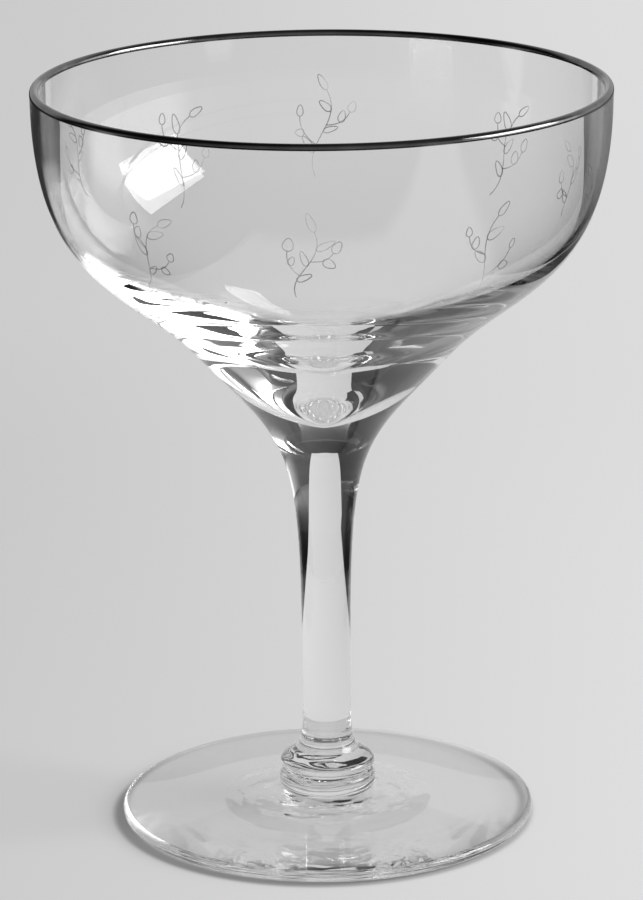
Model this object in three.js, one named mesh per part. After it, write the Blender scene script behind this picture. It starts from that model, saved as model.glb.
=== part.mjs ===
// A stemmed sherbet glass in millimetres, +Z up, standing on Z = 0 with its axis on Z.
// Four pieces of clear glass are welded end to end on flat discs: foot, collar, stem and bowl.
// A bright metal band caps the flat edge of the bowl.
import * as THREE from 'three';

// Foot: a spun disc, low-coned on top, with a shallow domed hollow under the stem
const footRadius = 35.2;
const footEdge = 2.0;
const footRise = 4.3;
const slopeRadius = 20;
const slopeLift = 0.9;
const kickRadius = 18;
const kickHeight = 1.1;

// Collar: two rounded rings of one gather, with a groove tooled between them
const collarHeight = 7.1;
const collarSeat = 7.5;
const seatFlank = 0.3;
const lowerRing = 8.2;
const lowerRingUp = 1.8;
const grooveRadius = 7.15;
const grooveUp = 3.35;
const grooveFlank = 0.4;
const upperRing = 8.05;
const upperRingUp = 4.75;
const crownDrop = 1.6;

// Stem: a drawn rod with a short flare at its base and a long trumpet under the bowl
const stemRadius = 4.15;
const stemLength = 54.6;
const baseRadius = 5.4;
const baseFlare = 5.5;
const flareKnee = 1.4;
const trumpetLength = 39.5;
const trumpetRise = 23.2;
const trumpetRadius = 8.37;
const trumpetAngle = 62.4;
const trumpetLead = 7.9;

// Bowl: a thin upright wall, a round shoulder, a straight cone and a thick bottom
const rimRadius = 48;
const bowlHeight = 60;
const lipWall = 1.65;
const wallDrop = 31.5;
const waistRadius = 21.84;
const waistHeight = 16.2;
const waistAngle = 47.8;
const waistRise = 17.9;
const waistFall = 10;
const bowlLead = 6.1;

// Inside of the bowl: it leaves the wall above the waist, narrows as a shallower cone and ends in a round well
const innerDrop = 26.4;
const coneOut = 7.66;
const coneUp = 10;
const coneAngle = 30.9;
const coneRise = 8.4;
const coneFall = 13;
const wellRadius = 3.3;
const wellFloor = 6.9;

// Rim band: as thick as the wall it caps, with a half-round top
const bandHeight = 1;

const roundSteps = 64;

const collarBase = footRise;
const stemBase = collarBase + collarHeight;
const bowlBase = stemBase + stemLength;
const bowlTop = bowlBase + bowlHeight;
const bandTop = bowlTop + bandHeight;

const at = (r, z) => new THREE.Vector2(r, z);

// The point that lies a distance from another, in a direction in degrees above the level
function along(from, degrees, distance) {
  const angle = THREE.MathUtils.degToRad(degrees);
  return at(from.x + distance * Math.cos(angle), from.y + distance * Math.sin(angle));
}

function bend(steps, ...points) {
  const Curve = points.length === 3 ? THREE.QuadraticBezierCurve : THREE.CubicBezierCurve;
  return new Curve(...points).getPoints(steps);
}

// A round edge about a centre, from one angle to another in degrees
function round(steps, centre, radius, from, to) {
  const [a, b] = [from, to].map(THREE.MathUtils.degToRad);
  return new THREE.EllipseCurve(centre.x, centre.y, radius, radius, a, b, from > to).getPoints(steps);
}

// The cap of a sphere, from its crown on the axis to its edge on Z = 0
function dome(steps, radius, height) {
  const sphere = (radius * radius + height * height) / (2 * height);
  const edge = THREE.MathUtils.radToDeg(Math.asin(radius / sphere));
  return round(steps, at(0, height - sphere), sphere, 90, 90 - edge);
}

const clear = (colour) => new THREE.MeshStandardMaterial({ color: colour, roughness: 0.05, metalness: 0 });
const metal = (colour) => new THREE.MeshStandardMaterial({ color: colour, roughness: 0.15, metalness: 1 });

// Spins stretches of profile about Z, listed anticlockwise round the half section
function spin(name, material, ...stretches) {
  const profile = stretches.flat().filter((p, i, all) => i === 0 || p.distanceTo(all[i - 1]) > 1e-6);
  const geometry = new THREE.LatheGeometry(profile, roundSteps);
  geometry.rotateX(Math.PI / 2);
  const mesh = new THREE.Mesh(geometry, material);
  mesh.name = name;
  return mesh;
}

function foot() {
  const edge = footEdge / 2;
  const rim = at(footRadius - edge, edge);
  const shoulder = at(rim.x, footEdge);
  const seat = at(collarSeat, footRise);
  const hollow = dome(7, kickRadius, kickHeight);
  const edgeRound = round(8, rim, edge, -90, 90);
  const cone = bend(7, shoulder, at(slopeRadius, footEdge + slopeLift), seat);
  return spin('foot', clear(0xe4ebea), hollow, edgeRound, cone, at(0, footRise));
}

function collar() {
  const seat = at(collarSeat, collarBase);
  const lower = at(lowerRing, collarBase + lowerRingUp);
  const groove = at(grooveRadius, collarBase + grooveUp);
  const upper = at(upperRing, collarBase + upperRingUp);
  const top = at(baseRadius, stemBase);
  const profile = [
    at(0, collarBase),
    bend(5, seat, at(lower.x, seat.y + seatFlank), lower),
    bend(5, lower, at(lower.x, groove.y - grooveFlank), groove),
    bend(5, groove, at(upper.x, groove.y + grooveFlank), upper),
    bend(5, upper, at(upper.x, top.y - crownDrop), top),
    at(0, stemBase),
  ];
  return spin('collar', clear(0xdfe8e6), ...profile);
}

function stem() {
  const base = at(baseRadius, stemBase);
  const rod = at(stemRadius, stemBase + baseFlare);
  const neck = at(stemRadius, bowlBase - trumpetLength);
  const seat = at(trumpetRadius, bowlBase);
  const flare = bend(6, base, at(stemRadius, stemBase + flareKnee), rod);
  const lead = along(seat, trumpetAngle, -trumpetLead);
  const trumpet = bend(12, neck, at(stemRadius, neck.y + trumpetRise), lead, seat);
  return spin('stem', clear(0xe0e9e8), at(0, stemBase), flare, trumpet, at(0, bowlBase));
}

function bowl() {
  const seat = at(trumpetRadius, bowlBase);
  const waist = at(waistRadius, bowlBase + waistHeight);
  const rim = at(rimRadius, bowlTop);
  const inside = at(rimRadius - lipWall, bowlTop);
  const cone = at(waist.x + coneOut, waist.y + coneUp);
  const well = at(0, bowlBase + wellFloor);
  const lower = bend(6, seat, along(seat, trumpetAngle, bowlLead), along(waist, waistAngle, -waistFall), waist);
  const upper = bend(13, waist, along(waist, waistAngle, waistRise), at(rim.x, rim.y - wallDrop), rim);
  const wall = bend(12, inside, at(inside.x, inside.y - innerDrop), along(cone, coneAngle, coneRise), cone);
  const hollow = bend(9, cone, along(cone, coneAngle, -coneFall), at(wellRadius, well.y), well);
  return spin('bowl', clear(0xe6eeee), at(0, bowlBase), lower, upper, wall, hollow);
}

function rimBand() {
  const half = lipWall / 2;
  const crown = at(rimRadius - half, bandTop - half);
  const inside = at(rimRadius - lipWall, bowlTop);
  const outside = at(rimRadius, bowlTop);
  return spin('rim_band', metal(0x9a9c9e), inside, outside, round(8, crown, half, 0, 180), inside.clone());
}

const glass = new THREE.Group();
glass.name = 'sherbet_glass';
glass.add(foot(), collar(), stem(), bowl(), rimBand());

export default glass;
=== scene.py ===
# %% [markdown]
# A stemmed sherbet glass in five pieces: a spun foot, a collar of two rings, a drawn stem, a wide bowl and
# a fine metal band on the lip. The four glass pieces were welded hot, so light passes from one to the next
# with no line between them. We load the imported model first. It is the fixed frame, in metres and on the
# same axes, so every piece below goes exactly where its solid is.

# %% Load the frame
import math

import bpy
from mathutils import Matrix, Vector


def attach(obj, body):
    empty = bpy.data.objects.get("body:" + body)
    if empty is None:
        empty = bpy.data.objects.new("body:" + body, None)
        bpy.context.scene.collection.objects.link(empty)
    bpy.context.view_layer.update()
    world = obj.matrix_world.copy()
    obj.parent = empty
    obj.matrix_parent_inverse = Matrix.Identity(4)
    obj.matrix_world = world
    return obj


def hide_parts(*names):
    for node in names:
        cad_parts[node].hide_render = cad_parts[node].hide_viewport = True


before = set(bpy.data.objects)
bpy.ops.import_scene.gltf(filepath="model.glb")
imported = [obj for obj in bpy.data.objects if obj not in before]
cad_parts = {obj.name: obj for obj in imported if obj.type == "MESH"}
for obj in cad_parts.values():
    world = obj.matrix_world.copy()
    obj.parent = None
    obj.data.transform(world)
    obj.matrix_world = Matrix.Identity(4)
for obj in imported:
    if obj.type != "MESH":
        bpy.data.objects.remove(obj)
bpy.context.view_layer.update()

MM = 0.001
scene = bpy.context.scene
print("nodes:", sorted(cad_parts))

# %% [markdown]
# Every piece is round, so one half of its section is all that we draw. A point of it is (radius, height)
# in millimetres. Glass has no corners where it was soft, so the lines are arcs and Bezier curves with a few
# handles. A mesh pushed into shape by hand could look the same, but a handle is easier to change later.

# %% Curves for the half sections
SAME_POINT = 1e-6
sections = {}


def along(start, degrees, distance):
    a = math.radians(degrees)
    return (start[0] + distance * math.cos(a), start[1] + distance * math.sin(a))


def bend(steps, *handles):
    """Points of the Bezier curve with these handles, however many there are."""
    line = []
    for i in range(steps + 1):
        t, left = i / steps, list(handles)
        while len(left) > 1:
            left = [tuple(a + t * (b - a) for a, b in zip(p, q)) for p, q in zip(left, left[1:])]
        line.append(left[0])
    return line


def arc(steps, centre, radius, first, last):
    angles = [first + (last - first) * i / steps for i in range(steps + 1)]
    return [along(centre, a, radius) for a in angles]


def keep_section(name, *stretches):
    """Joins stretches into one line, with no point twice in a row, and keeps it by the piece's name."""
    line = []
    for p in (p for s in stretches for p in s):
        if not line or math.dist(p, line[-1]) > SAME_POINT:
            line.append(p)
    sections[name] = line
    print(name, len(line), "points, widest", round(2 * max(p[0] for p in line), 2), "mm")


# %% [markdown]
# The foot is a gather of hot glass, pressed flat and spun out. It is a low cone on top with a rounded edge.
# Underneath, a shallow dome keeps the middle off the table, so the glass stands on a ring and does not rock.

# %% Half section of the foot
FOOT_RADIUS, FOOT_EDGE, FOOT_RISE = 35.2, 2.0, 4.3
SLOPE_RADIUS, SLOPE_LIFT = 20.0, 0.9
KICK_RADIUS, KICK_HEIGHT = 18.0, 1.1
COLLAR_SEAT = 7.5


def dome(steps, radius, height):
    """The cap of a sphere, from its crown on the axis to its edge at height 0."""
    sphere = (radius * radius + height * height) / (2 * height)
    edge = math.degrees(math.asin(radius / sphere))
    return arc(steps, (0, height - sphere), sphere, 90, 90 - edge)


def foot_section():
    edge = FOOT_EDGE / 2
    rim = (FOOT_RADIUS - edge, edge)
    seat = (COLLAR_SEAT, FOOT_RISE)
    slope = bend(36, (rim[0], FOOT_EDGE), (SLOPE_RADIUS, FOOT_EDGE + SLOPE_LIFT), seat)
    return dome(28, KICK_RADIUS, KICK_HEIGHT), arc(24, rim, edge, -90, 90), slope, [(0, FOOT_RISE)]


keep_section("foot", *foot_section())

# %% [markdown]
# The collar is a small gather between stem and foot. The maker turns the glass and nips it with a tool, which
# leaves two round rings and a groove. Each ring is two bends that meet upright at the widest place.

# %% Half section of the collar
COLLAR_BASE, COLLAR_HEIGHT, SEAT_FLANK = FOOT_RISE, 7.1, 0.3
LOWER_RING, LOWER_RING_UP = 8.2, 1.8
GROOVE_RADIUS, GROOVE_UP, GROOVE_FLANK = 7.15, 3.35, 0.4
UPPER_RING, UPPER_RING_UP, CROWN_DROP = 8.05, 4.75, 1.6
BASE_RADIUS = 5.4
STEM_BASE = COLLAR_BASE + COLLAR_HEIGHT


def collar_section():
    seat = (COLLAR_SEAT, COLLAR_BASE)
    lower = (LOWER_RING, COLLAR_BASE + LOWER_RING_UP)
    groove = (GROOVE_RADIUS, COLLAR_BASE + GROOVE_UP)
    upper = (UPPER_RING, COLLAR_BASE + UPPER_RING_UP)
    top = (BASE_RADIUS, STEM_BASE)
    return (
        [(0, COLLAR_BASE)],
        bend(16, seat, (lower[0], seat[1] + SEAT_FLANK), lower),
        bend(16, lower, (lower[0], groove[1] - GROOVE_FLANK), groove),
        bend(16, groove, (upper[0], groove[1] + GROOVE_FLANK), upper),
        bend(16, upper, (upper[0], top[1] - CROWN_DROP), top),
        [(0, STEM_BASE)],
    )


keep_section("collar", *collar_section())

# %% [markdown]
# The stem is drawn from the bottom of the bowl while it is hot, so it widens into the bowl like a trumpet.
# Below that it is nearly a plain rod, with a short flare where it sits on the collar. Its flat top is the
# weld to the bowl, and both curves have the same slope there.

# %% Half section of the stem
STEM_RADIUS, STEM_LENGTH = 4.15, 54.6
BASE_FLARE, FLARE_KNEE = 5.5, 1.4
TRUMPET_LENGTH, TRUMPET_RISE = 39.5, 23.2
TRUMPET_RADIUS, TRUMPET_ANGLE, TRUMPET_LEAD = 8.37, 62.4, 7.9
BOWL_BASE = STEM_BASE + STEM_LENGTH


def stem_section():
    base = (BASE_RADIUS, STEM_BASE)
    rod = (STEM_RADIUS, STEM_BASE + BASE_FLARE)
    neck = (STEM_RADIUS, BOWL_BASE - TRUMPET_LENGTH)
    seat = (TRUMPET_RADIUS, BOWL_BASE)
    flare = bend(24, base, (STEM_RADIUS, STEM_BASE + FLARE_KNEE), rod)
    lead = along(seat, TRUMPET_ANGLE, -TRUMPET_LEAD)
    trumpet = bend(64, neck, (STEM_RADIUS, neck[1] + TRUMPET_RISE), lead, seat)
    return [(0, STEM_BASE)], flare, trumpet, [(0, BOWL_BASE)]


keep_section("stem", *stem_section())

# %% [markdown]
# The bowl is blown, thin at the lip and thick at the bottom, so its outside and inside are two different
# curves. Outside, an upright wall turns a round shoulder into a straight cone. Inside, the wall leaves
# that line higher up and falls as a shallower cone to a round well. The inside has one handle more than
# the solid's, because the edge of the hollow shows clearly through the glass. The difference is under 1 mm.

# %% Half section of the bowl
RIM_RADIUS, BOWL_HEIGHT, LIP_WALL, WALL_DROP = 48.0, 60.0, 1.65, 31.5
WAIST_RADIUS, WAIST_HEIGHT, WAIST_ANGLE = 21.84, 16.2, 47.8
WAIST_RISE, WAIST_FALL, BOWL_LEAD = 17.9, 10.0, 6.1
INNER_DROP, INNER_BEND_RADIUS, INNER_BEND_UP = 20.0, 42.4, 34.85
CONE_OUT, CONE_UP, CONE_ANGLE, CONE_RISE, CONE_FALL = 7.66, 10.0, 30.9, 8.13, 13.0
WELL_RADIUS, WELL_FLOOR = 3.3, 6.9
BOWL_TOP = BOWL_BASE + BOWL_HEIGHT


def bowl_outside():
    seat = (TRUMPET_RADIUS, BOWL_BASE)
    waist = (WAIST_RADIUS, BOWL_BASE + WAIST_HEIGHT)
    rim = (RIM_RADIUS, BOWL_TOP)
    lead, fall = along(seat, TRUMPET_ANGLE, BOWL_LEAD), along(waist, WAIST_ANGLE, -WAIST_FALL)
    shoulder = along(waist, WAIST_ANGLE, WAIST_RISE)
    return bend(32, seat, lead, fall, waist), bend(90, waist, shoulder, (rim[0], rim[1] - WALL_DROP), rim)


def bowl_inside():
    lip = (RIM_RADIUS - LIP_WALL, BOWL_TOP)
    cone = (WAIST_RADIUS + CONE_OUT, BOWL_BASE + WAIST_HEIGHT + CONE_UP)
    well = (0, BOWL_BASE + WELL_FLOOR)
    drop, turn = (lip[0], lip[1] - INNER_DROP), (INNER_BEND_RADIUS, BOWL_BASE + INNER_BEND_UP)
    wall = bend(90, lip, drop, turn, along(cone, CONE_ANGLE, CONE_RISE), cone)
    return wall, bend(64, cone, along(cone, CONE_ANGLE, -CONE_FALL), (WELL_RADIUS, well[1]), well)


keep_section("bowl", [(0, BOWL_BASE)], *bowl_outside(), *bowl_inside())

# %% [markdown]
# The rim band is a bright metal, painted on the lip and fired. The real one is a film. The model gives it
# a ring as thick as the wall, with a half-round top, so that it catches light as a fire-polished lip does.

# %% Half section of the rim band
BAND_HEIGHT = 1.0


def band_section():
    half = LIP_WALL / 2
    inside, outside = (RIM_RADIUS - LIP_WALL, BOWL_TOP), (RIM_RADIUS, BOWL_TOP)
    crown = arc(24, (RIM_RADIUS - half, BOWL_TOP + BAND_HEIGHT - half), half, 0, 180)
    return [inside, outside], crown, [inside]


keep_section("rim_band", *band_section())

# %% [markdown]
# Materials and Geometry Nodes are both trees of nodes. Making each node takes several lines, so a few
# helpers come first: one adds a node with its links, and the others do arithmetic with numbers and sockets.

# %% Node helpers
def add(tree, kind, links=(), **settings):
    """Makes a node, sets its properties and values, and links its inputs. A name like _2 is input 2."""
    node = tree.nodes.new(kind)
    for key, value in settings.items():
        if key.startswith("_"):
            node.inputs[int(key[1:])].default_value = value
        else:
            setattr(node, key, value)
    for index, source in links:
        tree.links.new(source, node.inputs[index])
    return node


def sums(tree, operation, *values):
    """One step of arithmetic on numbers or sockets."""
    node = add(tree, "ShaderNodeMath", operation=operation)
    for i, v in enumerate(values):
        if isinstance(v, (int, float)):
            node.inputs[i].default_value = v
        else:
            tree.links.new(v, node.inputs[i])
    return node.outputs[0]


def total(tree, first, *others):
    for other in others:
        first = sums(tree, "ADD", first, other)
    return first


def product(tree, first, *others):
    for other in others:
        first = sums(tree, "MULTIPLY", first, other)
    return first


def ease(tree, value, low, high, to_low=0.0, to_high=1.0):
    """A soft step from one value to another."""
    node = add(tree, "ShaderNodeMapRange", interpolation_type="SMOOTHSTEP")
    tree.links.new(value, node.inputs["Value"])
    for key, v in (("From Min", low), ("From Max", high), ("To Min", to_low), ("To Max", to_high)):
        node.inputs[key].default_value = v
    return node.outputs["Result"]


def split(tree, vector):
    """The X, Y and Z of a vector."""
    return add(tree, "ShaderNodeSeparateXYZ", [(0, vector)]).outputs


def distance(tree, x, y):
    return sums(tree, "SQRT", total(tree, product(tree, x, x), product(tree, y, y)))


def new_material(name):
    material = bpy.data.materials.new(name)
    material.use_nodes = True
    tree = material.node_tree
    return material, tree, tree.nodes["Principled BSDF"], tree.nodes["Material Output"]


# %% [markdown]
# Tools leave faint marks on hot glass that turns: rings round the axis, which change slowly along their way.
# They are far too low to model, so they are bump. A noise is squeezed along the height or the radius, and
# several layers of it add up. On the foot they fade outwards, where the glass was spun smooth.

# %% Tool marks
MARK_DETAIL = 0.5


def marks(tree, place, run, height, across, pitch, fade=None):
    """A layer of tool marks, in millimetres: rings spaced by a pitch along the height or the radius,
    that change slowly across. A fade, (full, gone), ends the layer."""
    x, y, z = split(tree, place)
    way = z if run == "height" else distance(tree, x, y)
    spot = add(tree, "ShaderNodeCombineXYZ", [
        (0, sums(tree, "DIVIDE", x, across * MM)), (1, sums(tree, "DIVIDE", y, across * MM)),
        (2, sums(tree, "DIVIDE", way, pitch * MM))])
    noise = add(tree, "ShaderNodeTexNoise", [(0, spot.outputs[0])])
    noise.inputs["Scale"].default_value = 1.0
    noise.inputs["Detail"].default_value = MARK_DETAIL
    layer = product(tree, noise.outputs["Fac"], height * MM)
    if fade:
        layer = product(tree, layer, ease(tree, way, fade[0] * MM, fade[1] * MM, 1, 0))
    return layer


# %% [markdown]
# Clear glass is a Principled shader with full transmission and no roughness: its look comes from what it
# bends and mirrors. A mesh of glass would throw a black shadow, because lamps are not traced through it.
# So shadow rays meet a clear shader that passes a share of the light. Light at a weld goes straight on.

# %% Clear glass
GLASS_INDEX = 1.52
GLASS_TINT = (0.994, 0.998, 0.995, 1)


def clear_glass(name, shadow_pass, *layers, edge=None):
    """Glass with layers of tool marks. An edge, (inside, outside, pass), throws a darker shadow."""
    material, tree, shader, output = new_material(name)
    shader.inputs["Base Color"].default_value = GLASS_TINT
    shader.inputs["Roughness"].default_value = 0.0
    shader.inputs["IOR"].default_value = GLASS_INDEX
    shader.inputs["Transmission Weight"].default_value = 1.0
    place = add(tree, "ShaderNodeTexCoord").outputs["Object"]
    bump = add(tree, "ShaderNodeBump")
    bump.inputs["Distance"].default_value = 1.0
    bump.inputs["Strength"].default_value = 1.0
    tree.links.new(total(tree, *(marks(tree, place, *layer) for layer in layers)), bump.inputs["Height"])
    tree.links.new(bump.outputs[0], shader.inputs["Normal"])
    shadow = add(tree, "ShaderNodeBsdfTransparent")
    shadow.inputs[0].default_value = (shadow_pass, shadow_pass, shadow_pass, 1)
    if edge:
        x, y, z = split(tree, place)
        passed = ease(tree, distance(tree, x, y), edge[0] * MM, edge[1] * MM, shadow_pass, edge[2])
        tree.links.new(passed, shadow.inputs[0])
    path = add(tree, "ShaderNodeLightPath")
    mix = add(tree, "ShaderNodeMixShader", [
        (0, path.outputs["Is Shadow Ray"]), (1, shader.outputs[0]), (2, shadow.outputs[0])])
    tree.links.new(mix.outputs[0], output.inputs[0])
    return material


def weld_glass():
    material, tree, shader, output = new_material("weld")
    tree.nodes.remove(shader)
    clear = add(tree, "ShaderNodeBsdfTransparent")
    tree.links.new(clear.outputs[0], output.inputs[0])
    return material


GLASS = {
    "foot": clear_glass(
        "foot_glass", 0.91, ("radius", 0.003, 12, 6), ("radius", 0.20, 6, 2.6, (12, 19)),
        ("radius", 0.06, 2.6, 1.5, (13, 18)), edge=(32.6, 34.0, 0.55)),
    "collar": clear_glass("collar_glass", 0.70, ("height", 0.02, 17, 0.8), ("height", 0.36, 7, 2.8)),
    "stem": clear_glass(
        "stem_glass", 0.5, ("height", 0.003, 17, 3.0), ("height", 0.05, 12, 1.0, (16.0, 17.4))),
    "bowl": clear_glass("bowl_glass", 0.90, ("height", 0.002, 17, 3.0)),
}
WELD = weld_glass()
print("glass finishes:", [m.name for m in GLASS.values()], "and", WELD.name)

# %% [markdown]
# The band's metal is white and burnished. It is a mirror, but its colour is set far darker than white metal:
# painted shade for the dim room above it. Years of wiping have worn it unevenly, so a fine noise moves both
# its tone and its softness a little.

# %% Burnished band, painted dark
WEAR_SCALE, WEAR_DETAIL = 260.0, 3.0
WEAR_LOW, WEAR_HIGH = 0.3, 0.7
# Both tones are painted shade, far darker than white metal; the step between them is wear.
METAL_WORN_DARK_PAINTED_SHADE, METAL_WORN_LIGHT_PAINTED_SHADE = (0.16, 0.16, 0.16, 1), (0.26, 0.26, 0.26, 1)
METAL_KEEN, METAL_SOFT = 0.08, 0.16


def burnished_metal_painted_shade():
    material, tree, shader, output = new_material("rim_metal_painted_shade")
    shader.inputs["Metallic"].default_value = 1.0
    place = add(tree, "ShaderNodeTexCoord").outputs["Object"]
    wear = add(tree, "ShaderNodeTexNoise", [(0, place)])
    wear.inputs["Scale"].default_value = WEAR_SCALE
    wear.inputs["Detail"].default_value = WEAR_DETAIL
    tone = add(tree, "ShaderNodeValToRGB", [(0, wear.outputs["Fac"])])
    dark, light = tone.color_ramp.elements
    dark.position, dark.color = WEAR_LOW, METAL_WORN_DARK_PAINTED_SHADE
    light.position, light.color = WEAR_HIGH, METAL_WORN_LIGHT_PAINTED_SHADE
    tree.links.new(tone.outputs[0], shader.inputs["Base Color"])
    softness = ease(tree, wear.outputs["Fac"], WEAR_LOW, WEAR_HIGH, METAL_KEEN, METAL_SOFT)
    tree.links.new(softness, shader.inputs["Roughness"])
    return material


RIM_METAL_PAINTED_SHADE = burnished_metal_painted_shade()
print("metal finish:", RIM_METAL_PAINTED_SHADE.name)

# %% [markdown]
# All five pieces follow one rule: spin a half section round the axis. So one Geometry Nodes tree makes them
# all. It starts with a grid that has one row of points for each point of the section and one column for each
# step round the axis. Every grid point looks up its section point by row and turns it by column.

# %% A grid that turns a section
def new_tree(name, inputs):
    """A Geometry Nodes tree with labelled inputs of given kinds, and the sockets that hold them."""
    tree = bpy.data.node_groups.new(name, "GeometryNodeTree")
    for label, kind in inputs:
        tree.interface.new_socket(label, in_out="INPUT", socket_type="NodeSocket" + kind)
    tree.interface.new_socket("Geometry", in_out="OUTPUT", socket_type="NodeSocketGeometry")
    return tree, add(tree, "NodeGroupInput").outputs


def here(tree):
    return add(tree, "GeometryNodeInputPosition").outputs[0]


def spun_grid(tree, section, steps):
    """A grid whose rows are the points of a section and whose columns go round the axis."""
    size = add(tree, "GeometryNodeAttributeDomainSize", [(0, section)], component="CURVE")
    rows = size.outputs["Point Count"]
    grid = add(tree, "GeometryNodeMeshGrid")
    tree.links.new(sums(tree, "ADD", steps, 1), grid.inputs["Vertices X"])
    tree.links.new(rows, grid.inputs["Vertices Y"])
    index = add(tree, "GeometryNodeInputIndex").outputs[0]
    column = sums(tree, "FLOOR", sums(tree, "DIVIDE", sums(tree, "ADD", index, 0.5), rows))
    row = sums(tree, "SUBTRACT", index, product(tree, column, rows))
    look = add(tree, "GeometryNodeSampleIndex", data_type="FLOAT_VECTOR", domain="POINT")
    tree.links.new(section, look.inputs["Geometry"])
    tree.links.new(here(tree), look.inputs["Value"])
    tree.links.new(row, look.inputs["Index"])
    point = split(tree, look.outputs[0])
    angle = sums(tree, "DIVIDE", product(tree, column, 2 * math.pi), steps)
    place = add(tree, "ShaderNodeCombineXYZ", [
        (0, product(tree, point["X"], sums(tree, "COSINE", angle))),
        (1, product(tree, point["X"], sums(tree, "SINE", angle))),
        (2, point["Z"])])
    return add(tree, "GeometryNodeSetPosition", [(0, grid.outputs["Mesh"]), (2, place.outputs[0])]).outputs[0]


# %% [markdown]
# The spun grid is still open: its first and last columns lie on each other, and so do all the points on the
# axis. Merging points by distance closes the seam and the poles, and the piece is a solid. Then the tree
# sets the finishes. The flat discs at a weld get the clear one, so that the weld does not show.

# %% The turning tree
MERGE_DISTANCE = 0.0002
FLAT_WITHIN = 1e-6


def turning_tree():
    tree, given = new_tree("turned_piece", (
        ("Section", "Object"), ("Steps round", "Int"), ("Weld below", "Float"), ("Weld above", "Float"),
        ("Finish", "Material"), ("Weld finish", "Material")))
    section = add(tree, "GeometryNodeObjectInfo", [(0, given["Section"])]).outputs["Geometry"]
    closed = add(tree, "GeometryNodeMergeByDistance", [(0, spun_grid(tree, section, given["Steps round"]))])
    closed.inputs["Distance"].default_value = MERGE_DISTANCE * MM
    smooth = add(tree, "GeometryNodeSetShadeSmooth", [(0, closed.outputs[0])])
    real = add(tree, "GeometryNodeRealizeInstances", [(0, smooth.outputs[0])])
    painted = add(tree, "GeometryNodeSetMaterial", [(0, real.outputs[0]), (2, given["Finish"])])
    height = split(tree, here(tree))["Z"]
    gaps = [sums(tree, "ABSOLUTE", sums(tree, "SUBTRACT", height, given[level]))
            for level in ("Weld below", "Weld above")]
    flat = [sums(tree, "LESS_THAN", gap, FLAT_WITHIN) for gap in gaps]
    welded = add(tree, "GeometryNodeSetMaterial", [
        (0, painted.outputs[0]), (1, sums(tree, "MAXIMUM", *flat)), (2, given["Weld finish"])])
    add(tree, "NodeGroupOutput", [(0, welded.outputs[0])])
    return tree


turning = turning_tree()
print("tree:", turning.name, "with", len(turning.nodes), "nodes")

# %% [markdown]
# A modifier runs the tree on a maker, an object with an empty mesh. Its inputs are set by the identifiers
# of their sockets. Then we take the finished mesh from the evaluated maker and clear the maker away, so that
# what is left is a plain mesh at the origin.

# %% From a tree to a plain mesh
def set_inputs(modifier, **values):
    """Sets a modifier's inputs by the socket identifiers behind their labels."""
    wanted = {key.replace("_", " "): value for key, value in values.items()}
    for item in modifier.node_group.interface.items_tree:
        if item.in_out == "INPUT" and item.name in wanted:
            modifier[item.identifier] = wanted.pop(item.name)
    assert not wanted, wanted


def grown(name, tree, **values):
    """The mesh object that a tree makes with these inputs."""
    maker = bpy.data.objects.new(name + "_maker", bpy.data.meshes.new(name + "_maker"))
    scene.collection.objects.link(maker)
    modifier = maker.modifiers.new("make", "NODES")
    modifier.node_group = tree
    set_inputs(modifier, **values)
    bpy.context.view_layer.update()
    found = maker.evaluated_get(bpy.context.evaluated_depsgraph_get())
    mesh = bpy.data.meshes.new_from_object(found)
    maker.modifiers.clear()
    bpy.data.objects.remove(maker)
    mesh.name = name
    piece = bpy.data.objects.new(name, mesh)
    scene.collection.objects.link(piece)
    return piece


# %% [markdown]
# Now the five pieces are spun. Each takes the place of its solid and stays on the one body.
# A step of less than two degrees round the axis is fine enough for glass, which shows every facet. Shading
# is smooth, apart from real corners such as the edge of a flat disc.

# %% Spin the five pieces
STEPS_ROUND = 192
SHARP_ANGLE = 25
NO_WELD = -1000.0


def section_line(name):
    """The half section as a curve object that the tree reads."""
    curve = bpy.data.curves.new(name + "_section", "CURVE")
    curve.dimensions = "3D"
    spline = curve.splines.new("POLY")
    spline.points.add(len(sections[name]) - 1)
    for target, (r, z) in zip(spline.points, sections[name]):
        target.co = (r * MM, 0, z * MM, 1)
    line = bpy.data.objects.new(name + "_section", curve)
    scene.collection.objects.link(line)
    return line


def turned(name, finish, weld_below=NO_WELD, weld_above=NO_WELD):
    line = section_line(name)
    piece = grown(name + "_piece", turning, Section=line, Steps_round=STEPS_ROUND, Weld_below=weld_below * MM,
                  Weld_above=weld_above * MM, Finish=finish, Weld_finish=WELD)
    bpy.data.objects.remove(line)
    piece.data.set_sharp_from_angle(angle=math.radians(SHARP_ANGLE))
    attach(piece, "root")
    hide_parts(name)
    print(name, len(piece.data.polygons), "faces,", len(piece.data.materials), "finishes")
    return piece


turned("foot", GLASS["foot"], weld_above=FOOT_RISE)
turned("collar", GLASS["collar"], weld_below=COLLAR_BASE, weld_above=STEM_BASE)
turned("stem", GLASS["stem"], weld_below=STEM_BASE, weld_above=BOWL_BASE)
bowl = turned("bowl", GLASS["bowl"], weld_below=BOWL_BASE, weld_above=BOWL_TOP)
turned("rim_band", RIM_METAL_PAINTED_SHADE)

# %% [markdown]
# Sprays of leaves and buds run round the bowl. A small copper wheel cuts them, one hair line at a time, and
# leaves the cut matt. The wheel is pressed harder in some places than in others, so a noise mixes a frosted
# finish with a clear one.

# %% Matt cut of the wheel
CUT_LIGHT, CUT_DEEP = 0.08, 0.46
PRESS_SCALE, PRESS_LOW, PRESS_HIGH = 130.0, 0.36, 0.64
FROST = (0.42, 0.43, 0.43, 1)


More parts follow.
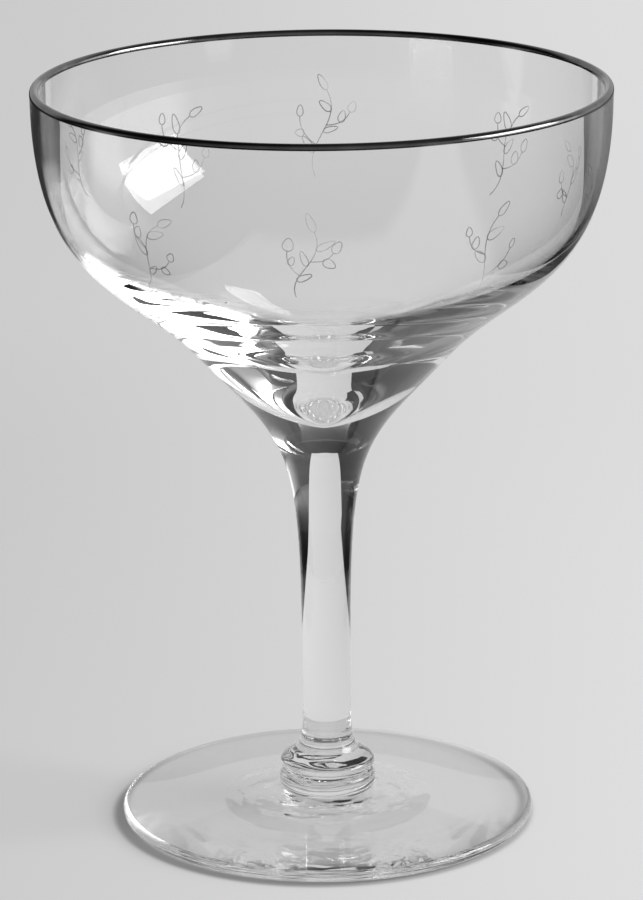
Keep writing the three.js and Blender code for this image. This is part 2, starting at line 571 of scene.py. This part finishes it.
def cut_finish():
    material, tree, shader, output = new_material("wheel_cut")
    tree.nodes.remove(shader)
    press = add(tree, "ShaderNodeTexNoise", [(0, add(tree, "ShaderNodeTexCoord").outputs["Object"])])
    press.inputs["Scale"].default_value = PRESS_SCALE
    frost = add(tree, "ShaderNodeBsdfDiffuse")
    frost.inputs["Color"].default_value = FROST
    clear = add(tree, "ShaderNodeBsdfTransparent")
    depth = ease(tree, press.outputs["Fac"], PRESS_LOW, PRESS_HIGH, CUT_LIGHT, CUT_DEEP)
    mix = add(tree, "ShaderNodeMixShader", [(0, depth), (1, clear.outputs[0]), (2, frost.outputs[0])])
    tree.links.new(mix.outputs[0], output.inputs[0])
    return material


WHEEL_CUT = cut_finish()
print("cut finish:", WHEEL_CUT.name)

# %% [markdown]
# One spray is a main twig with slim leaves and two side twigs with rounder buds. Each leaf is a drop-shaped
# loop that stands on its twig, left and right in turn, with the last one straight on at the tip. Leaves
# differ a little in lean and size, by random numbers with a fixed seed. They are drawn flat first.

# %% One spray, flat
MAIN_TWIG = [((0, -10), (5, -4), (-5, 3), (1.5, 10))]
SIDE_TWIGS = [
    ((1.1, -3.4), (3.5, -2.6), (6, -1.2), (6.6, 2.2)),
    ((-0.4, 1.7), (-2.4, 2.2), (-4.8, 3.2), (-5.4, 6.2)),
]
LEAF_LEAN, LEAF_LONG, LEAF_WIDE = (0.55, 1.05), (0.75, 1.1), (0.8, 1.2)
LEAF_POINTS, LEAF_FOOT, LEAF_TIP = 20, 0.6, 0.3


def twigs(tree, lines):
    """Bent lines in millimetres, joined."""
    joined = add(tree, "GeometryNodeJoinGeometry")
    for points in lines:
        twig = add(tree, "GeometryNodeCurvePrimitiveBezierSegment")
        for socket, point in zip(twig.inputs[1:], points):
            socket.default_value = (point[0] * MM, point[1] * MM, 0)
        tree.links.new(twig.outputs[0], joined.inputs[0])
    return joined.outputs[0]


def chance(tree, between, seed, shift):
    """A random number for each point, fixed by the seed."""
    node = add(tree, "FunctionNodeRandomValue", _2=between[0], _3=between[1])
    tree.links.new(sums(tree, "ADD", seed, shift), node.inputs["Seed"])
    return node.outputs[1]


def leaf_loop(tree):
    """A drop-shaped outline of length 1 that stands on its stalk: a circle, moved up and made narrower."""
    ring = add(tree, "GeometryNodeCurvePrimitiveCircle", _0=LEAF_POINTS, _4=1.0).outputs[0]
    at = split(tree, here(tree))
    up = sums(tree, "MULTIPLY_ADD", at["X"], -0.5, 0.5)
    out = product(tree, at["Y"], sums(tree, "MULTIPLY_ADD", up, LEAF_TIP - LEAF_FOOT, LEAF_FOOT))
    spot = add(tree, "ShaderNodeCombineXYZ", [(0, out), (1, up)])
    return add(tree, "GeometryNodeSetPosition", [(0, ring), (2, spot.outputs[0])]).outputs[0]


def leaves_on(tree, lines, count, slim, seed, long, shift):
    """A leaf at each of some points of every twig: left, right, and straight on at the tip."""
    spots = add(tree, "GeometryNodeCurveToPoints", [(0, lines)], mode="COUNT", _1=count).outputs
    step = sums(tree, "MODULO", add(tree, "GeometryNodeInputIndex").outputs[0], count)
    tip = sums(tree, "COMPARE", step, count - 1, 0.1)
    side = sums(tree, "MULTIPLY_ADD", sums(tree, "MODULO", step, 2), 2, -1)
    lean = product(tree, side, sums(tree, "SUBTRACT", 1, tip), chance(tree, LEAF_LEAN, seed, shift))
    way = split(tree, spots["Tangent"])
    turn = total(tree, sums(tree, "ARCTAN2", way["Y"], way["X"]), -math.pi / 2, lean)
    size = product(tree, long, chance(tree, LEAF_LONG, seed, shift + 1))
    wide = product(tree, size, slim, chance(tree, LEAF_WIDE, seed, shift + 2))
    rotation = add(tree, "ShaderNodeCombineXYZ", [(2, turn)])
    scale = add(tree, "ShaderNodeCombineXYZ", [(0, wide), (1, size)], _2=1.0)
    loops = add(tree, "GeometryNodeInstanceOnPoints", [
        (0, spots["Points"]), (1, sums(tree, "GREATER_THAN", step, 0.5)), (2, leaf_loop(tree)),
        (5, rotation.outputs[0]), (6, scale.outputs[0])])
    return add(tree, "GeometryNodeRealizeInstances", [(0, loops.outputs[0])]).outputs[0]


print("twigs in a spray:", len(MAIN_TWIG + SIDE_TWIGS))

# %% [markdown]
# The flat drawing then goes on the bowl, as a paper strip goes round a jar: across becomes an angle and up
# stays up. A ray from outside finds the skin at every point, and the line is set just under it. A thin tube
# along each curve gives the cut its width.

# %% Wrap a drawing round the bowl
RAY_START = 1.2


def wrapped(tree, curves, given):
    at = split(tree, here(tree))
    turn = sums(tree, "DIVIDE", at["X"], given["Radius"])
    out = [sums(tree, "SINE", turn), sums(tree, "COSINE", turn)]
    reach = product(tree, given["Radius"], RAY_START)
    start = add(tree, "ShaderNodeCombineXYZ", [
        (0, product(tree, out[0], reach)), (1, product(tree, out[1], reach)), (2, at["Y"])])
    inward = add(tree, "ShaderNodeCombineXYZ", [(i, product(tree, o, -1)) for i, o in enumerate(out)])
    skin = add(tree, "GeometryNodeObjectInfo", [(0, given["Bowl"])]).outputs["Geometry"]
    ray = add(tree, "GeometryNodeRaycast", [(0, skin), (2, start.outputs[0]), (3, inward.outputs[0])])
    hit = ray.outputs
    under = add(tree, "ShaderNodeVectorMath", [(0, hit["Hit Normal"])], operation="SCALE")
    tree.links.new(product(tree, given["Depth"], -1), under.inputs["Scale"])
    laid = add(tree, "GeometryNodeSetPosition", [
        (0, curves), (2, hit["Hit Position"]), (3, under.outputs[0])])
    return laid.outputs[0]


def thickened(tree, curves, given):
    """Gives the curves a round thickness and ends the tree."""
    ring = add(tree, "GeometryNodeCurvePrimitiveCircle", [(4, given["Line"])], _0=6)
    tube = add(tree, "GeometryNodeCurveToMesh", [(0, curves), (1, ring.outputs[0])], _3=True)
    real = add(tree, "GeometryNodeRealizeInstances", [(0, tube.outputs[0])])
    painted = add(tree, "GeometryNodeSetMaterial", [(0, real.outputs[0]), (2, given["Finish"])])
    add(tree, "NodeGroupOutput", [(0, painted.outputs[0])])


# %% [markdown]
# The last tree repeats the spray round the bowl. Every other one is mirrored, and each is shifted, tilted
# and sized by chance, as a hand would do it. The count, the level and the sizes are inputs, so the
# ornament can be changed without touching the tree.

# %% Sprays round the bowl
SPRAY_LEVEL, SPRAY_SEED = 108.0, 4
SPRAY_SHIFT, SPRAY_RISE = (-0.25, 0.25), (-3 * MM, 3 * MM)
SPRAY_SIZE, SPRAY_TILT = (0.58, 0.78), (-0.45, 0.45)
POINT_STEP = 0.4


def spray_tree():
    tree, given = new_tree("engraved_sprays", (
        ("Bowl", "Object"), ("Count", "Int"), ("Radius", "Float"), ("Height", "Float"), ("Leaf", "Float"),
        ("Bud", "Float"), ("Line", "Float"), ("Depth", "Float"), ("Seed", "Int"), ("Finish", "Material")))
    seed, index = given["Seed"], add(tree, "GeometryNodeInputIndex").outputs[0]
    apart = sums(tree, "DIVIDE", product(tree, given["Radius"], 2 * math.pi), given["Count"])
    across = product(tree, apart, total(tree, index, chance(tree, SPRAY_SHIFT, seed, 1)))
    level = total(tree, given["Height"], chance(tree, SPRAY_RISE, seed, 2))
    spots = add(tree, "GeometryNodePoints", [
        (0, given["Count"]), (1, add(tree, "ShaderNodeCombineXYZ", [(0, across), (1, level)]).outputs[0])])
    flip = sums(tree, "MULTIPLY_ADD", sums(tree, "MODULO", index, 2), 2, -1)
    size = chance(tree, SPRAY_SIZE, seed, 3)
    scale = add(tree, "ShaderNodeCombineXYZ", [(0, product(tree, size, flip)), (1, size)], _2=1.0)
    tilt = add(tree, "ShaderNodeCombineXYZ", [(2, chance(tree, SPRAY_TILT, seed, 4))])
    drawn = []
    for lines, count, slim, long, shift in (
            (MAIN_TWIG, 5, 0.42, given["Leaf"], 10), (SIDE_TWIGS, 3, 0.75, given["Bud"], 20)):
        spread = add(tree, "GeometryNodeInstanceOnPoints", [
            (0, spots.outputs[0]), (2, twigs(tree, lines)), (5, tilt.outputs[0]), (6, scale.outputs[0])])
        real = add(tree, "GeometryNodeRealizeInstances", [(0, spread.outputs[0])]).outputs[0]
        drawn += [real, leaves_on(tree, real, count, slim, seed, long, shift)]
    flat = add(tree, "GeometryNodeJoinGeometry", [(0, d) for d in drawn])
    fine = add(tree, "GeometryNodeResampleCurve", [(0, flat.outputs[0])], mode="LENGTH", _3=POINT_STEP * MM)
    thickened(tree, wrapped(tree, fine.outputs[0], given), given)
    return tree


sprays = grown("engraved_sprays", spray_tree(), Bowl=bowl, Count=10, Radius=RIM_RADIUS * MM,
               Height=SPRAY_LEVEL * MM, Leaf=3.3 * MM, Bud=2.1 * MM, Line=0.10 * MM, Depth=0.2 * MM,
               Seed=SPRAY_SEED, Finish=WHEEL_CUT)
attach(sprays, "root")
print("sprays:", len(sprays.data.polygons), "faces")

# %% [markdown]
# Glass shows its surroundings, so they matter as much as the glass. It stands on a sheet of pale paper 19 cm
# wide, on a dark table in a dim room. Past the edges of the paper it bends light in from table and room, and
# that draws its dark edges. A few more sheets lie about and give it bright streaks. The camera itself sees
# pale paper wherever it looks. We build the floor's material from small parts, the first of which says where
# paper lies.

# %% Where paper lies
SHEET_HALF, SHEET_FRONT, SHEET_BACK = 96.0, 160.0, 140.0
SHEET_SOFT, END_SOFT = 3.0, 60.0
LOOSE_HALF, LOOSE_SOFT = 58.0, 40.0
LOOSE_SHEETS = ((-45, 170, 400), (-90, 240, 3000), (135, 0, 900))


def strip(tree, x, y, turn, half_width, start, end, soft):
    """1 on a strip of paper that runs out from the axis, its way turned from +Y towards +X."""
    a = math.radians(turn)
    out = total(tree, product(tree, x, math.sin(a)), product(tree, y, math.cos(a)))
    side = sums(tree, "SUBTRACT", product(tree, x, math.cos(a)), product(tree, y, math.sin(a)))
    narrow = ease(tree, sums(tree, "ABSOLUTE", side), half_width * MM, (half_width + soft) * MM, 1, 0)
    ahead = ease(tree, out, (start - END_SOFT) * MM, start * MM)
    near = ease(tree, out, end * MM, (end + END_SOFT) * MM, 1, 0)
    return product(tree, narrow, ahead, near)


def paper_place(tree, x, y):
    found = strip(tree, x, y, 0, SHEET_HALF, -SHEET_FRONT, SHEET_BACK, SHEET_SOFT)
    for turn, start, end in LOOSE_SHEETS:
        loose = strip(tree, x, y, turn, LOOSE_HALF, start, end, LOOSE_SOFT)
        found = sums(tree, "MAXIMUM", found, loose)
    return found


# %% [markdown]
# Near the glass the paper is matt and takes the lamp's light and shadows, with some glow of its own for the
# light that comes from all round. Further off it only glows, at the tone that the photograph has there, with
# painted light from the window making it a little brighter to the right. The foot's edge bends light away
# from a thin ring of paper, which a lamp's simple shadow can't show, so shade is painted on the paper there,
# more to the left, away from the window.

# %% Paper
PAPER_TONE, PAPER_GLOW, PAPER_PAINTED_WINDOW_LIGHT = 0.66, 0.385, 0.065
PAPER_GREY, NO_GREY = (0.70, 0.70, 0.70, 1), (0, 0, 0, 1)
LIT_LEFT, LIT_FADE = 0.09, (0.17, 0.36)
SLANT_REACH, SLANT_SIDE_END, SLANT_FAR = 0.13, 0.40, (0.8, 2.0)
EDGE_SHADE, EDGE_SHADE_LEFT, EDGE_SHADE_BEHIND = 0.7, 0.8, (8, 28)
EDGE_SHADE_IN, EDGE_SHADE_FULL, EDGE_SHADE_OUT = 2.6, 1.0, 1.6


def edge_shade(tree, x, y):
    """The ring of shade under the foot's edge, that fades behind the glass."""
    ring = distance(tree, total(tree, x, EDGE_SHADE_LEFT * MM), y)
    inside = ease(tree, ring, (FOOT_RADIUS - EDGE_SHADE_IN) * MM, (FOOT_RADIUS - EDGE_SHADE_FULL) * MM)
    outside = ease(tree, ring, FOOT_RADIUS * MM, (FOOT_RADIUS + EDGE_SHADE_OUT) * MM, 1, 0)
    in_front = ease(tree, y, EDGE_SHADE_BEHIND[0] * MM, EDGE_SHADE_BEHIND[1] * MM, 1, 0)
    return product(tree, inside, outside, in_front, EDGE_SHADE)


def paper_shader(tree, x, y, seen):
    lit = distance(tree, total(tree, x, LIT_LEFT), y)
    near = ease(tree, lit, *LIT_FADE, 1, 0)
    # Painted light from the window: the paper glows a little brighter to the right, fading far off.
    painted_window_light = product(
        tree, ease(tree, x, -SLANT_REACH, SLANT_REACH, -PAPER_PAINTED_WINDOW_LIGHT, PAPER_PAINTED_WINDOW_LIGHT),
        ease(tree, sums(tree, "ABSOLUTE", x), SLANT_REACH, SLANT_SIDE_END, 1, 0),
        ease(tree, distance(tree, x, y), *SLANT_FAR, 1, 0))
    level = total(tree, PAPER_TONE, painted_window_light, product(tree, near, PAPER_GLOW - PAPER_TONE))
    level = product(tree, level, sums(tree, "SUBTRACT", 1, edge_shade(tree, x, y)))
    glow = add(tree, "ShaderNodeEmission")
    tree.links.new(product(tree, seen, level), glow.inputs["Strength"])
    matt = add(tree, "ShaderNodeBsdfDiffuse")
    fade = add(tree, "ShaderNodeMix", data_type="RGBA", _6=NO_GREY, _7=PAPER_GREY)
    tree.links.new(near, fade.inputs["Factor"])
    tree.links.new(fade.outputs[2], matt.inputs["Color"])
    return add(tree, "ShaderNodeAddShader", [(0, matt.outputs[0]), (1, glow.outputs[0])]).outputs[0]


# %% [markdown]
# The table is dark near the glass. Behind it its colour is paler, painted light that is strongest on the
# right, where the window is. Far off it has a painted glow of the dim room, brighter on the right, so that no
# hard line shows in the glass where the floor ends. The camera always sees paper. Glass and metal see paper
# where it lies and the table elsewhere.

# %% Floor
TABLE_NEAR, TABLE_PAINTED_LIGHT_LEFT, TABLE_PAINTED_LIGHT_RIGHT, TABLE_ROUGH = 0.02, 0.10, 0.38, 0.35
TABLE_SIDE, TABLE_BEHIND = 0.1, (0.15, 0.45)
ROOM_LEFT, ROOM_RIGHT, ROOM_SIDE, ROOM_FROM = 0.012, 0.07, 0.3, (0.35, 0.9)
FLOOR_REACH, FLOOR_CORNERS, FLOOR_DROP = 3.0, 96, 0.3


def floor_finish():
    material, tree, table, output = new_material("floor_paper")
    table.inputs["Roughness"].default_value = TABLE_ROUGH
    table.inputs["Specular IOR Level"].default_value = 0.0
    x, y, z = split(tree, add(tree, "ShaderNodeTexCoord").outputs["Object"])
    # Painted light: behind the glass the table's colour is paler, most on the right, towards the window.
    beside = ease(tree, x, -TABLE_SIDE, TABLE_SIDE, TABLE_PAINTED_LIGHT_LEFT - TABLE_NEAR, TABLE_PAINTED_LIGHT_RIGHT - TABLE_NEAR)
    tone = total(tree, TABLE_NEAR, product(tree, ease(tree, y, *TABLE_BEHIND), beside))
    tree.links.new(tone, table.inputs["Base Color"])
    # Painted glow far off, brighter to the right, matching the dim room.
    painted_room_glow = ease(tree, x, -ROOM_SIDE, ROOM_SIDE, ROOM_LEFT, ROOM_RIGHT)
    table.inputs["Emission Color"].default_value = (1, 1, 1, 1)
    far = ease(tree, distance(tree, x, y), *ROOM_FROM)
    tree.links.new(product(tree, far, painted_room_glow), table.inputs["Emission Strength"])
    path = add(tree, "ShaderNodeLightPath").outputs
    in_glass = sums(tree, "MAXIMUM", path["Is Glossy Ray"], path["Is Transmission Ray"])
    seen = sums(tree, "MAXIMUM", path["Is Camera Ray"], in_glass)
    paper = paper_shader(tree, x, y, seen)
    where = sums(tree, "MAXIMUM", path["Is Camera Ray"], paper_place(tree, x, y))
    mix = add(tree, "ShaderNodeMixShader", [(0, where), (1, table.outputs[0]), (2, paper)])
    tree.links.new(mix.outputs[0], output.inputs[0])
    return material


def make_floor():
    turns = [2 * math.pi * i / FLOOR_CORNERS for i in range(FLOOR_CORNERS)]
    around = [(FLOOR_REACH * math.cos(a), FLOOR_REACH * math.sin(a), -FLOOR_DROP * MM) for a in turns]
    mesh = bpy.data.meshes.new("floor")
    mesh.from_pydata(around, [], [list(range(FLOOR_CORNERS))])
    mesh.materials.append(floor_finish())
    floor = bpy.data.objects.new("floor", mesh)
    scene.collection.objects.link(floor)


make_floor()
print("floor reaches", FLOOR_REACH, "m; paper half width", SHEET_HALF, "mm")

# %% [markdown]
# Behind the glass the sheet curves up, which is how a studio hides the line between table and wall. The stem
# is a strong lens that turns things round, so its right edge shows what lies to the left. A small dark card
# on that side keeps the edge dark. Sheet and card show in the glass only. The camera looks past them.

# %% Curved sheet and dark card
SWEEP_CORNER, SWEEP_TOP = (282.4, 0), (496, 240)
CARD_CORNERS = [(-20, 6, 22.4), (-20, 50, 40), (-20, 50, 54), (-20, 6, 54)]
CARD_NEAR, CARD_FAR, CARD_FADE = 0.015, 0.01, (0.01, 0.04)


def glow_finish(name, axis, low, high, to_low, to_high):
    """A plain glow that changes along one axis."""
    material, tree, shader, output = new_material(name)
    tree.nodes.remove(shader)
    place = split(tree, add(tree, "ShaderNodeTexCoord").outputs["Object"])
    glow = add(tree, "ShaderNodeEmission")
    tree.links.new(ease(tree, place[axis], low, high, to_low, to_high), glow.inputs["Strength"])
    tree.links.new(glow.outputs[0], output.inputs[0])
    return material


def seen_in_glass(name, points, faces, finish, mirrored):
    """A flat thing that the glass shows but the camera does not."""
    mesh = bpy.data.meshes.new(name)
    mesh.from_pydata([tuple(c * MM for c in p) for p in points], [], faces)
    mesh.materials.append(finish)
    thing = bpy.data.objects.new(name, mesh)
    scene.collection.objects.link(thing)
    thing.visible_camera = thing.visible_diffuse = thing.visible_shadow = False
    thing.visible_glossy = mirrored


sweep = bend(24, (SHEET_BACK, 0), SWEEP_CORNER, SWEEP_TOP)
sweep_points = [(side * SHEET_HALF, y, z) for y, z in sweep for side in (-1, 1)]
sweep_faces = [(2 * i, 2 * i + 1, 2 * i + 3, 2 * i + 2) for i in range(len(sweep) - 1)]
# The sheet's glow is a little brighter to the right: painted light from the window.
sheet_paper = glow_finish(
    "sheet_paper", "X", -SLANT_REACH, SLANT_REACH, PAPER_TONE - PAPER_PAINTED_WINDOW_LIGHT, PAPER_TONE + PAPER_PAINTED_WINDOW_LIGHT)
seen_in_glass("back_sheet", sweep_points, sweep_faces, sheet_paper, mirrored=True)
card_black = glow_finish("dark_card", "Y", *CARD_FADE, CARD_NEAR, CARD_FAR)
seen_in_glass("dark_card", CARD_CORNERS, [(0, 1, 2, 3)], card_black, mirrored=False)
print("sheet rises to", round(sweep[-1][1]), "mm")

# %% [markdown]
# The room is the world behind everything. Its walls are soft steps of a direction: x is how far it points to
# the right, y away from the camera and z up. The right wall is bright, because the window is in it, and its
# light runs round inside the bowl's wall and comes out at the left. The back wall only shows in mirrors. A
# strip of pale paper far to the left goes a little way up the wall there. The camera sees pale paper.

# %% Dim room
WALL_RIGHT, WALL_BRIGHT, WALL_LEFT, WALL_FRONT, WALL_BACK = 0.45, 1.2, 0.15, 0.22, 0.42
RIGHT_FROM, BRIGHT_FROM, LEFT_FROM, FRONT_FROM = (0.50, 0.95), (0.82, 0.93), (0.9, 1.0), (0.2, 1.0)
SIDES_UP_TO, BACK_FROM, BACK_UP_TO = (0.30, 0.60), (0.45, 0.70), (0.45, 0.85)
STRIP_HALF, STRIP_UP_TO = (0.12, 0.15), (0.05, 0.07)
NEARLY_NONE = 0.001


def room_level(tree):
    x, y, z = split(tree, add(tree, "ShaderNodeTexCoord").outputs["Generated"])
    left, front = product(tree, x, -1), product(tree, y, -1)
    low = ease(tree, z, *SIDES_UP_TO, 1, 0)
    sides = total(
        tree, ease(tree, x, *RIGHT_FROM, 0, WALL_RIGHT), ease(tree, x, *BRIGHT_FROM, 0, WALL_BRIGHT),
        ease(tree, left, *LEFT_FROM, 0, WALL_LEFT))
    dim = total(tree, ease(tree, x, -ROOM_SIDE, ROOM_SIDE, ROOM_LEFT, ROOM_RIGHT), product(tree, sides, low),
                ease(tree, front, *FRONT_FROM, 0, WALL_FRONT))
    path = add(tree, "ShaderNodeLightPath").outputs
    mirrored = product(tree, path["Is Glossy Ray"], sums(tree, "SUBTRACT", 1, path["Is Transmission Ray"]))
    back = product(tree, ease(tree, y, *BACK_FROM, 0, WALL_BACK), ease(tree, z, *BACK_UP_TO, 1, 0))
    dim = total(tree, dim, product(tree, back, mirrored))
    beside = sums(tree, "DIVIDE", sums(tree, "ABSOLUTE", y), sums(tree, "MAXIMUM", left, NEARLY_NONE))
    far_strip = product(tree, ease(tree, beside, *STRIP_HALF, 1, 0), ease(tree, z, *STRIP_UP_TO, 1, 0))
    pale = sums(tree, "MAXIMUM", path["Is Camera Ray"], far_strip)
    return total(tree, dim, product(tree, pale, sums(tree, "SUBTRACT", PAPER_TONE, dim)))


room = bpy.data.worlds.new("room")
scene.world = room
room.use_nodes = True
backdrop = room.node_tree.nodes["Background"]
backdrop.inputs["Color"].default_value = (1, 1, 1, 1)
room.node_tree.links.new(room_level(room.node_tree), backdrop.inputs["Strength"])
print("room:", len(room.node_tree.nodes), "nodes")

# %% [markdown]
# One window on the right lights the glass. It is an area lamp, and its mirror image is the bright patch on
# the left of the bowl. The place and shape of that patch gave the window's height, turn and size.

# %% Window light
WINDOW_AWAY, WINDOW_AIM = 1.2, 0.1
WINDOW_TURN, WINDOW_UP = 95.0, 27.0
WINDOW_WIDE, WINDOW_TALL = 0.78, 0.51
WINDOW_WATTS = 9.4


def window():
    light = bpy.data.lights.new("window", "AREA")
    light.shape, light.size, light.size_y = "RECTANGLE", WINDOW_WIDE, WINDOW_TALL
    light.energy = WINDOW_WATTS
    lamp = bpy.data.objects.new("window", light)
    scene.collection.objects.link(lamp)
    a, e = math.radians(WINDOW_TURN), math.radians(WINDOW_UP)
    target = Vector((0, 0, WINDOW_AIM))
    way = Vector((math.sin(a) * math.cos(e), math.cos(a) * math.cos(e), math.sin(e)))
    lamp.location = target + WINDOW_AWAY * way
    lamp.rotation_euler = (-way).to_track_quat("-Z", "Y").to_euler()
    lamp.visible_camera = False
    return lamp


lamp = window()
print("window lamp at", [round(v, 3) for v in lamp.location])

# %% [markdown]
# The rim and the foot are circles, so their ellipses in the photograph give the camera: how far and how high
# it stands, how long its lens is, and the slight roll with which it was held. The axis of the glass is a
# little right of the picture's middle, which the lens shift takes up.

# %% Camera from the ellipses of rim and foot
FRAME_LONG, FRAME_MIDDLE = 900, 321.5
CAMERA_AWAY, CAMERA_UP = 692.67, 266.67
CAMERA_PITCH, CAMERA_ROLL = 0.28443, -0.00885
FOCAL_PIXELS, AXIS_PIXEL = 4285.95, 324.681
SENSOR = 36

camera_data = bpy.data.cameras.new("camera")
camera = bpy.data.objects.new("camera", camera_data)
scene.collection.objects.link(camera)
camera_data.sensor_width = SENSOR
camera_data.lens = FOCAL_PIXELS * SENSOR / FRAME_LONG
camera_data.shift_x = (FRAME_MIDDLE - AXIS_PIXEL) / FRAME_LONG
camera_data.clip_start = 0.01
ahead = Vector((0, math.cos(CAMERA_PITCH), -math.sin(CAMERA_PITCH)))
right = Vector((1, 0, 0))
turn = Matrix((right, right.cross(ahead), -ahead)).transposed().to_4x4()
place = Matrix.Translation((0, -CAMERA_AWAY * MM, CAMERA_UP * MM))
camera.matrix_world = place @ turn @ Matrix.Rotation(CAMERA_ROLL, 4, "Z")
scene.camera = camera
print("lens", round(camera_data.lens, 1), "mm")

# %% [markdown]
# Light that runs round inside the bowl's wall meets the glass some twenty times before it leaves. Those
# meetings count as glossy bounces where the light is mirrored inside, so that limit is as high as the one
# for transmission. Caustics are off, because the shadow rays already carry the lamp's light through.

# %% Light paths
GLASS_BOUNCES = 64
scene.view_settings.view_transform = "Standard"
paths = scene.cycles
paths.max_bounces = paths.transmission_bounces = paths.glossy_bounces = GLASS_BOUNCES
paths.diffuse_bounces = 3
paths.transparent_max_bounces = 32
paths.caustics_refractive = paths.caustics_reflective = False
print("bounces in glass:", paths.max_bounces)
